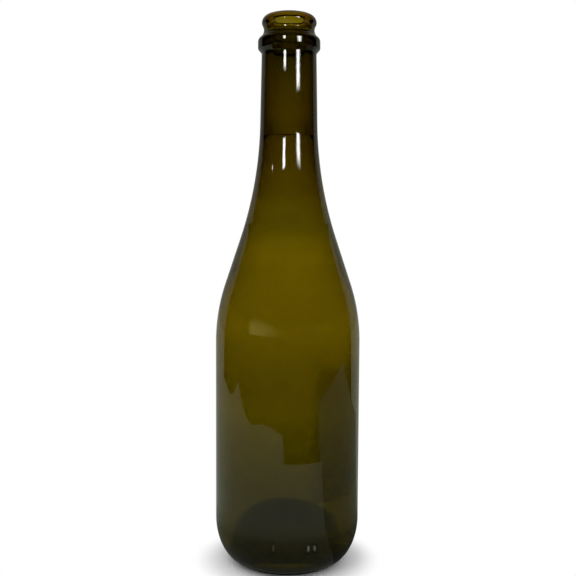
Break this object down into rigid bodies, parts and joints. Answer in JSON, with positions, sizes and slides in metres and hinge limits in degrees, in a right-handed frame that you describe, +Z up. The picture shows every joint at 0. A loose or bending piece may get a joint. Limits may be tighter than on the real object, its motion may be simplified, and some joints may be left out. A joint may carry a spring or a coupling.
{
  "type": "champagne bottle",
  "caption": "Open sparkling wine bottle of olive glass, with a wire collar under the lip, a long neck, sloping shoulders and a deep punt, filled into the neck.",
  "frame": {"origin": "middle of the foot ring, on the surface the bottle stands on", "axes": "+Z up, along the bottle's axis, towards the mouth"},
  "size_m": [0.0828, 0.0828, 0.313],
  "materials": {
    "glass": "clear olive green bottle glass, smooth and glossy",
    "wine": "clear pale straw-coloured wine"
  },
  "bodies": {
    "root": {"bottle": "glass", "wine": "wine"}
  },
  "joints": []
}
